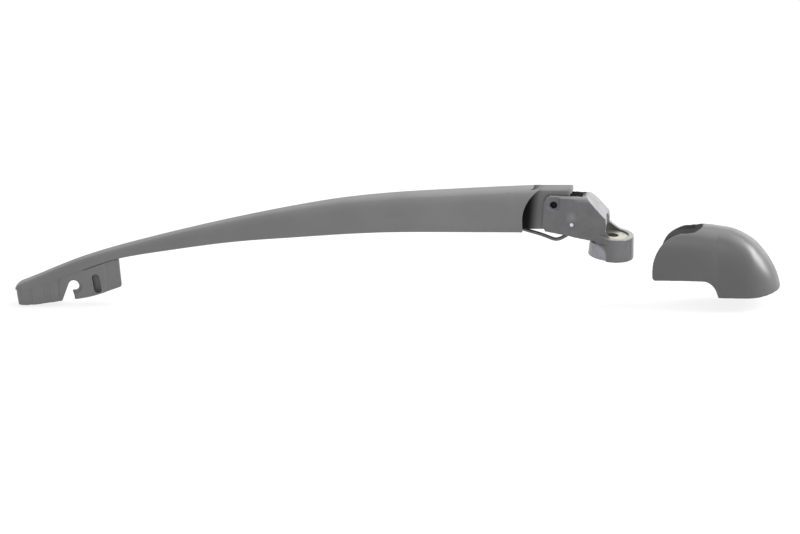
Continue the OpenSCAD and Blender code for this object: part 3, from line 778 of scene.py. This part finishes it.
class WIPER_OT_mounting_head(bpy.types.Operator):
    """Build the cast head with its cheeks, slope and spindle boss"""

    bl_idname = "wiper.mounting_head"
    bl_label = "Mounting head"

    def execute(self, context):
        h = settings().head
        hx, hz, r = h.hinge_x, h.hinge_z, h.cheek_r
        foot, top = (-hx + 29, hz - 4), (-hx + 17.6, hz + 6.6)
        outline = [
            (-hx - r, hz), (-hx - r + 0.6, 14), (-hx - r + 2.2, 11.5), (-12, 9.8), (0, 9.8),
            (-1.4, 13.6), (-3.4, 15.6), (foot[0] + 0.7, foot[1] - 3.6), foot, top, (-hx - 0.4, hz + r),
        ]
        head = side_prism("head_casting", outline, h.body_w)
        joined(head, cross_rod("cheek_round", (-hx, hz), 2 * r, h.body_w))
        rise, slope = -hx + 11.8, 1.8
        cheek, body = h.cheek_w / 2, h.body_w / 2
        plan = [(-60, cheek), (rise - slope, cheek), (rise + slope, body), (20, body)]
        plan += [(x, -y) for x, y in plan[::-1]]
        trimmed(head, plan_prism("plan", plan, -1, 60), self.roof(h))
        self.hollow(head, h)
        self.boss(head, h, foot)
        spin = Matrix.Translation((-hx, 0, hz)) @ Matrix.Rotation(-settings().arm.droop, 4, "Y")
        for s in (-1, 1):
            lug = box("lug", (0.9, s * 4.2 - 1.5, -13.4), (4.3, s * 4.2 + 1.5, -9.4))
            lug.data.transform(spin)
            joined(head, lug)
        hinge_d, hook_d, way_d, way_w = 4, 2.2, 7.4, 5
        tools = [
            cross_rod("hinge", (0, 0), hinge_d, 30),
            cross_rod("hook", HOOK_AT, hook_d, 30),
            cross_rod("way", HOOK_AT, way_d, way_w),
        ]
        pocket_r, pocket_w = 3.3, 1.2
        pocket = ring_points((0, 0), pocket_r, 180, 360, 24, closed=False)
        pocket += [(pocket_r, 12), (-pocket_r, 12)]
        for s in (-1, 1):
            tools.append(side_prism("pocket", pocket, pocket_w, s * h.cheek_w / 2))
        for tool in tools:
            tool.data.transform(spin)
        cut(head, *tools)
        moulded(head, 0.29, 4)
        finished(head, head_place(), finish("head_coating_painted_reflection"), "head", "head_casting", "mounting_head")
        return {"FINISHED"}

    def roof(self, h):
        """The rounded shoulders, which rise a little towards the spindle."""
        r, far_r, across, up = h.shoulder_r, h.shoulder_r + 3, h.body_w / 2, 34
        shoulder = ring_points((across - far_r, up - far_r), far_r, 0, 90, 12, closed=False)
        shoulder += ring_points((r - across, up - r), r, 90, 180, 10, closed=False)
        shoulder += [(-across, -12), (across, -12)]
        roof = end_prism("roof", shoulder, 0, 70)
        lean = Matrix.Rotation(math.radians(-4.3), 4, "Y")
        roof.data.transform(Matrix.Translation((-50, 0, h.hinge_z - 30.2)) @ lean)
        return roof

    def hollow(self, head, h):
        """The slot between the cheeks and the room for the tongue's swing."""
        hx, hz, half = h.hinge_x, h.hinge_z, h.slot_w / 2
        cut(
            head,
            cross_rod("hollow", (-hx, hz), 29.8, h.slot_w),
            box("slot", (-60, -half, 0), (-hx + 14.1, half, hz - 3)),
            box("slot_top", (-hx, -half, hz + 4.4), (-hx + 16.2, half, 50)),
        )

    def boss(self, head, h, foot):
        """The spindle boss with its stepped front half, its groove, its collar and its seat."""
        step, top = 2 * h.boss_step, h.boss_h
        rim_d, core_d = h.boss_d - 1.6, 21.8
        back = upright("boss", h.boss_d - 0.9, h.boss_d - 2.4, 0.4, top)
        back.data.transform(Matrix.Translation((-0.55, 0, 0)))
        groove = upright("groove", 40, 40, 8.5, 9.4)
        cut(groove, upright("core", core_d, core_d, 8, 10), box("clear", (-2, -30, 0), (30, 30, 20)))
        front = upright("front", h.boss_d, rim_d, 0, top)
        trimmed(front, box("front_half", (-1, -20, -1), (40, 20, 40)))
        collar = upright("collar", rim_d - step, rim_d - step, 1, 24)
        sweep = [
            (-14, 0), (-14, foot[1] - 2), (foot[0] - 0.6, foot[1] - 2), (foot[0] + 0.4, foot[1] - 6),
            (-2.2, top + 1.5), (0.2, top), (7, top - 0.1), (7, 0),
        ]
        trimmed(collar, side_prism("sweep", sweep, h.body_w))
        web = upright("web", h.boss_d - 2.6, h.boss_d - 2.6, 10, 24)
        fall = [
            (-6, 10), (-6, foot[1] - 5), (foot[0] + 0.4, foot[1] - 6), (-1.6, 15.4), (0.6, 13.9),
            (2.6, 12.9), (4.4, 12.4), (4.4, 10),
        ]
        trimmed(web, side_prism("fall", fall, 14, 10))
        joined(head, back, front, collar, web)
        cut(head, groove)
        seat = h.insert_d
        cut(
            head,
            upright("seat", seat, seat, -1, top + 3),
            upright("seat_top", seat, seat / 2, top + 2, top + 11),
        )


def wire_tree():
    """Geometry nodes that draw a round wire along a line of points."""
    known = bpy.data.node_groups.get("round_wire")
    if known:
        return known
    tree = bpy.data.node_groups.new("round_wire", "GeometryNodeTree")
    tree.interface.new_socket("Geometry", in_out="INPUT", socket_type="NodeSocketGeometry")
    width = tree.interface.new_socket("Wire Radius", in_out="INPUT", socket_type="NodeSocketFloat")
    width.default_value = 1.0
    spacing = tree.interface.new_socket("Ring Spacing", in_out="INPUT", socket_type="NodeSocketFloat")
    spacing.default_value = 0.5
    tree.interface.new_socket("Material", in_out="INPUT", socket_type="NodeSocketMaterial")
    tree.interface.new_socket("Geometry", in_out="OUTPUT", socket_type="NodeSocketGeometry")
    node, link = tree.nodes.new, tree.links.new
    given, result = node("NodeGroupInput"), node("NodeGroupOutput")
    line = node("GeometryNodeMeshToCurve")
    kind = node("GeometryNodeCurveSplineType")
    kind.spline_type = "CATMULL_ROM"
    spaced = node("GeometryNodeResampleCurve")
    spaced.mode = "LENGTH"
    rim = node("GeometryNodeCurvePrimitiveCircle")
    rim.inputs["Resolution"].default_value = 14
    tube = node("GeometryNodeCurveToMesh")
    tube.inputs["Fill Caps"].default_value = True
    smooth = node("GeometryNodeSetShadeSmooth")
    real, paint = node("GeometryNodeRealizeInstances"), node("GeometryNodeSetMaterial")
    link(given.outputs["Geometry"], line.inputs["Mesh"])
    link(line.outputs["Curve"], kind.inputs["Curve"])
    link(kind.outputs["Curve"], spaced.inputs["Curve"])
    link(given.outputs["Ring Spacing"], spaced.inputs["Length"])
    link(given.outputs["Wire Radius"], rim.inputs["Radius"])
    link(spaced.outputs["Curve"], tube.inputs["Curve"])
    link(rim.outputs["Curve"], tube.inputs["Profile Curve"])
    link(tube.outputs["Mesh"], smooth.inputs["Geometry"])
    link(smooth.outputs["Geometry"], real.inputs["Geometry"])
    link(real.outputs["Geometry"], paint.inputs["Geometry"])
    link(given.outputs["Material"], paint.inputs["Material"])
    link(paint.outputs["Geometry"], result.inputs["Geometry"])
    return tree


def set_input(modifier, name, value):
    """Sets a node modifier's input by its socket's identifier."""
    for item in modifier.node_group.interface.items_tree:
        if item.item_type == "SOCKET" and item.in_out == "INPUT" and item.name == name:
            modifier[item.identifier] = value


def wire_piece(name, points, radius, spacing, material):
    """A plain mesh of a round wire along the points."""
    mesh = bpy.data.meshes.new(name)
    mesh.from_pydata(points, [(i, i + 1) for i in range(len(points) - 1)], [])
    piece = add_object(name, mesh)
    draw = piece.modifiers.new("wire", "NODES")
    draw.node_group = wire_tree()
    set_input(draw, "Wire Radius", radius)
    set_input(draw, "Ring Spacing", spacing)
    set_input(draw, "Material", material)
    return baked(piece)


class WIPER_OT_spring_and_hook(bpy.types.Operator):
    """Wind the tension spring and bend its hook"""

    bl_idname = "wiper.spring_and_hook"
    bl_label = "Spring and hook"

    def execute(self, context):
        s = settings().spring
        steel = finish("wire_dark_steel")
        loop = [(x, 0, z) for x, z in ring_points(HOOK_AT, 2.1, 150, -30, 12, closed=False)]
        way = [
            (8.5, 0, -16.2), (5.8, 0, -19), (2.6, 0, -20.9), (0.6, 0, -21.6), (-1.2, 0, -21.7),
            (-3.2, 0, -21.1), (-5.4, 0, -20.2), (-9, 0, -18.8),
        ]
        eye = [(x, 0, z) for x, z in ring_points(EYE_AT, 2.4, 254, -10, 24, closed=False)]
        shank = [(-16, 0, -16.65), (-24, 0, -14.2), (-30, 0, -12.35)]
        hook = wire_piece("spring_hook_wire", loop + way + shank + eye, s.hook_d / 2, 0.5, steel)
        finished(hook, arm_place(), steel, "link", "spring_steel", "spring_hook")
        run = Vector((EYE_AT[0] - ANCHOR_AT[0], 0, EYE_AT[1] - ANCHOR_AT[1]))
        span, lean = run.length, math.atan2(run.z, run.x)
        pin_d, per_turn = 3, 20
        coil_r = (s.coil_d - s.wire_d) / 2
        loop_r = (pin_d + s.wire_d) / 2 + 0.1
        end_r = (s.hook_d + s.wire_d) / 2 + 0.15
        first, last, end_x = 7.0, span - 8, span - 2.4
        points = []
        for degrees in range(-60, 61, 10):
            a = math.radians(degrees)
            points.append((-loop_r * math.cos(a), 0, loop_r * math.sin(a)))
        count = s.turns * per_turn
        for i in range(count + 1):
            a = 2 * math.pi * i / per_turn
            points.append((first + (last - first) * i / count, coil_r * math.sin(a), coil_r * math.cos(a)))
        for degrees in range(90, -151, -15):
            a = math.radians(degrees)
            points.append((end_x + end_r * math.cos(a), end_r * math.sin(a), 0))
        coil = wire_piece("tension_spring_coil", points, s.wire_d / 2, 0.6, steel)
        start = Matrix.Translation((ANCHOR_AT[0], 0, ANCHOR_AT[1]))
        coil.data.transform(start @ Matrix.Rotation(-lean, 4, "Y"))
        finished(coil, arm_place(), steel, "link", "spring_steel", "tension_spring")
        return {"FINISHED"}


class WIPER_OT_small_metal(bpy.types.Operator):
    """Finish the insert and the pins"""

    bl_idname = "wiper.small_metal"
    bl_label = "Insert and pins"

    def execute(self, context):
        dress_node("spindle_insert", finish("insert_bare_metal"))
        # The hinge pin gets the near-black painted shade of the hinge holes.
        dress_node("hinge_pin", finish("hinge_pin_painted_shade"))
        dress_node("hook_pin", finish("pin_plain_steel"))
        dress_node("anchor_pin", finish("pin_plain_steel"))
        return {"FINISHED"}


class WIPER_OT_spindle_cap(bpy.types.Operator):
    """Shape the cover cap with its notch"""

    bl_idname = "wiper.spindle_cap"
    bl_label = "Spindle cap"

    def execute(self, context):
        c = settings().cap
        end, round_x, first = 51.4, 34.6, ROOT_X + 0.8
        low_left, low_right, lift, lift_x = -18.6, -27.9, 1.4, 37
        step_x, step_l, step_h = 11.2, 8, 9.3
        half_line = ((-18, 13), (0, 13.6), (15, c.half_w - 1), (round_x, c.half_w), (60, c.half_w))

        def half(x):
            """Half width, rounded off towards the closed end."""
            t = min(1.0, max(0.0, (x - round_x) / (end - round_x)))
            return along(half_line, x) * max(0.06, math.sqrt(1 - t * t))

        def low(x):
            """Lower edge, which steps down beside the boss."""
            if x < step_x:
                return low_left
            if x > step_x + step_l:
                return low_right + lift * (max(0.0, x - lift_x) / (end - lift_x)) ** 2
            return low_right + step_h * math.sqrt(1 - ((x - step_x) / step_l) ** 2)

        def ring(x, inset):
            """One section, rounder over the boss than over the neck."""
            share = (x - ROOT_X) / (end - ROOT_X)
            bottom = low(x)
            top = max(bottom + 0.6, along(CAP_TOP, x) - inset)
            square = 2.9 - 0.35 * min(1.0, max(0.0, (x - 4) / 14))
            points = section(max(0.3, half(x) - inset), bottom, top, steps, draft, square)
            return [(x - inset * share * share, y, z) for y, z in points]

        stations, steps, draft = 110, 48, 0.03
        rings = []
        for i in range(stations + 1):
            x = first + (end - first) * (1 - (1 - i / stations) ** 1.5)
            rings.append(ring(x, 0) + ring(x, c.wall)[::-1])
        cap = lofted("spindle_cap_shell", rings)
        notch_r, notch_half, tongue_l = 6.6, 7.7, settings().arm.tongue_l
        notch = [(-40, notch_half)]
        notch += ring_points((tongue_l - 6, 1.1), notch_r, 90, 0, 16, closed=False)
        notch += [(x, -y) for x, y in notch[::-1]]
        front = [(-14.4, -20), (-14.9, -18.5), (-15.6, -17.9), (-16, -17)]
        front += [(along(CAP_END, z / 2), z / 2) for z in range(-30, 19)]
        front += [(5, 12), (-30, 12), (-30, -20)]
        mouth = side_prism("mouth", front, 40)
        # The open end leans back a little towards the far side.
        lean = 0.05
        mouth.data.transform(Matrix(((1, lean, 0, 0), (0, 1, 0, 0), (0, 0, 1, 0), (0, 0, 0, 1))))
        cut(cap, plan_prism("notch", notch, -6, 24), mouth)
        moulded(cap, 0.35, 4)
        nearer = 0.5
        cap.data.transform(Matrix.Translation((c.off_x - nearer, 0, -c.off_z)))
        finished(cap, arm_place(), finish("cap_satin_plastic"), "head", "cap_plastic", "spindle_cap")
        return {"FINISHED"}


class WIPER_OT_stage(bpy.types.Operator):
    """Set up the pale floor, the soft light and the camera"""

    bl_idname = "wiper.stage"
    bl_label = "Stage"

    def execute(self, context):
        scene = bpy.context.scene
        scene.view_settings.view_transform = "Standard"
        level = hinge_frame()
        size, floor_z = 4.0, -0.0588
        corners = [(-size, -size), (size, -size), (size, size), (-size, size)]
        floor = solid("floor", [level @ Vector((x, y, floor_z)) for x, y in corners], [range(4)])
        floor.data.materials.append(self.floor_finish())
        self.sky(scene)
        self.lamp("key", level, (0.1, 0.15, 1.1), (-0.08, 0, 0), 1.6, 14.5)
        self.lamp("side", level, (1.1, 0.15, 0.6), (0.02, 0, 0), 0.9, 30.0)
        self.lamp("back", level, (0.27, 1.2, 0.22), (-0.02, 0, 0), 1.0, 3.2)
        self.lamp("fill", level, (-0.3, -1.15, 0.8), (-0.06, 0, 0), 0.8, 3.0)
        self.camera(scene, level)
        return {"FINISHED"}

    def camera(self, scene, level):
        """A long lens at the photograph's viewing angle."""
        sensor, distance, view_w = 36, 12.0, 0.4351
        lens = bpy.data.cameras.new("camera")
        lens.sensor_width = sensor
        lens.lens = sensor * distance / view_w
        lens.clip_start, lens.clip_end = 0.05, 50
        view = bpy.data.objects.new("camera", lens)
        scene.collection.objects.link(view)
        aim = Vector((-87.06, 0, -37.7)) * MM
        rise, swing = math.radians(18), math.radians(9)
        flat = math.cos(rise)
        back = Vector((math.sin(swing) * flat, -math.cos(swing) * flat, math.sin(rise)))
        right = (Vector((1, 0, 0)) - back * back.x).normalized()
        turn = Matrix((right, back.cross(right), back)).transposed().to_4x4()
        view.matrix_world = level @ Matrix.Translation(aim + back * distance) @ turn
        scene.camera = view

    def floor_finish(self):
        """Matt floor that the camera and reflections see nearly white, with the object's shadow on it."""
        white_share = 0.82
        material = bpy.data.materials.new("pale_floor")
        material.use_nodes = True
        tree = material.node_tree
        tree.nodes.clear()
        node, link = tree.nodes.new, tree.links.new
        path, lit = node("ShaderNodeLightPath"), node("ShaderNodeBsdfDiffuse")
        glow = node("ShaderNodeEmission")
        lit.inputs["Color"].default_value = (*settings().finishes.floor, 1)
        glow.inputs["Color"].default_value = (1, 1, 1, 1)
        share, mix = node("ShaderNodeMath"), node("ShaderNodeMixShader")
        out = node("ShaderNodeOutputMaterial")
        share.operation = "MULTIPLY"
        share.inputs[1].default_value = white_share
        seen = node("ShaderNodeMath")
        seen.operation = "MAXIMUM"
        link(path.outputs["Is Camera Ray"], seen.inputs[0])
        link(path.outputs["Is Glossy Ray"], seen.inputs[1])
        link(seen.outputs[0], share.inputs[0])
        link(share.outputs[0], mix.inputs["Fac"])
        link(lit.outputs[0], mix.inputs[1])
        link(glow.outputs[0], mix.inputs[2])
        link(mix.outputs[0], out.inputs["Surface"])
        return material

    def sky(self, scene):
        """Soft light from all round, and white where the camera or a reflection looks past the object."""
        light_level = 0.45
        world = bpy.data.worlds.new("studio")
        world.use_nodes = True
        tree = world.node_tree
        tree.nodes.clear()
        node, link = tree.nodes.new, tree.links.new
        path = node("ShaderNodeLightPath")
        seen, seen_too = node("ShaderNodeMath"), node("ShaderNodeMath")
        seen.operation = seen_too.operation = "MAXIMUM"
        soft, white = node("ShaderNodeBackground"), node("ShaderNodeBackground")
        soft.inputs["Color"].default_value = (1, 1, 1, 1)
        soft.inputs["Strength"].default_value = light_level
        white.inputs["Color"].default_value = (1, 1, 1, 1)
        white.inputs["Strength"].default_value = 1.0
        mix, out = node("ShaderNodeMixShader"), node("ShaderNodeOutputWorld")
        link(path.outputs["Is Camera Ray"], seen.inputs[0])
        link(path.outputs["Is Glossy Ray"], seen.inputs[1])
        link(seen.outputs[0], seen_too.inputs[0])
        link(path.outputs["Is Transmission Ray"], seen_too.inputs[1])
        link(seen_too.outputs[0], mix.inputs["Fac"])
        link(soft.outputs[0], mix.inputs[1])
        link(white.outputs[0], mix.inputs[2])
        link(mix.outputs[0], out.inputs["Surface"])
        scene.world = world

    def lamp(self, name, level, spot, aim, size, power):
        """A round soft lamp, placed and aimed in metres in the photograph's level frame."""
        light = bpy.data.lights.new(name, "AREA")
        light.shape = "DISK"
        light.size = size
        light.energy = power
        lamp = bpy.data.objects.new(name, light)
        lamp.visible_camera = False
        bpy.context.scene.collection.objects.link(lamp)
        place = Vector(spot)
        turn = (place - Vector(aim)).to_track_quat("Z", "Y").to_matrix().to_4x4()
        lamp.matrix_world = level @ Matrix.Translation(place) @ turn


class WiperArm(bpy.types.PropertyGroup):
    """All settings of the wiper arm."""

    arm: PointerProperty(type=ArmSizes)
    head: PointerProperty(type=HeadSizes)
    spring: PointerProperty(type=SpringSizes)
    cap: PointerProperty(type=CapSizes)
    finishes: PointerProperty(type=Finishes)


STEPS = (
    WIPER_OT_stage,
    WIPER_OT_arm_channel,
    WIPER_OT_arm_neck,
    WIPER_OT_blade_clip,
    WIPER_OT_mounting_head,
    WIPER_OT_small_metal,
    WIPER_OT_spring_and_hook,
    WIPER_OT_spindle_cap,
)


class WIPER_PT_panel(bpy.types.Panel):
    """Sidebar panel with the sizes and the steps"""

    bl_idname = "WIPER_PT_panel"
    bl_label = "Wiper Arm"
    bl_space_type = "VIEW_3D"
    bl_region_type = "UI"
    bl_category = "Wiper Arm"

    def draw(self, context):
        layout = self.layout
        for group in ("arm", "head", "spring", "cap", "finishes"):
            values = getattr(context.scene.wiper_arm, group)
            part = layout.box()
            part.label(text=group.capitalize())
            for name in values.bl_rna.properties.keys():
                if name not in ("rna_type", "name"):
                    part.prop(values, name)
        for step in STEPS:
            layout.operator(step.bl_idname)


CLASSES = (ArmSizes, HeadSizes, SpringSizes, CapSizes, Finishes, WiperArm, *STEPS, WIPER_PT_panel)


def register():
    for item in CLASSES:
        bpy.utils.register_class(item)
    bpy.types.Scene.wiper_arm = PointerProperty(type=WiperArm)


def unregister():
    del bpy.types.Scene.wiper_arm
    for item in reversed(CLASSES):
        bpy.utils.unregister_class(item)


def main():
    register()
    bpy.ops.wiper.stage()
    bpy.ops.wiper.arm_channel()
    bpy.ops.wiper.arm_neck()
    bpy.ops.wiper.blade_clip()
    bpy.ops.wiper.mounting_head()
    bpy.ops.wiper.small_metal()
    bpy.ops.wiper.spring_and_hook()
    bpy.ops.wiper.spindle_cap()


if __name__ == "__main__":
    main()
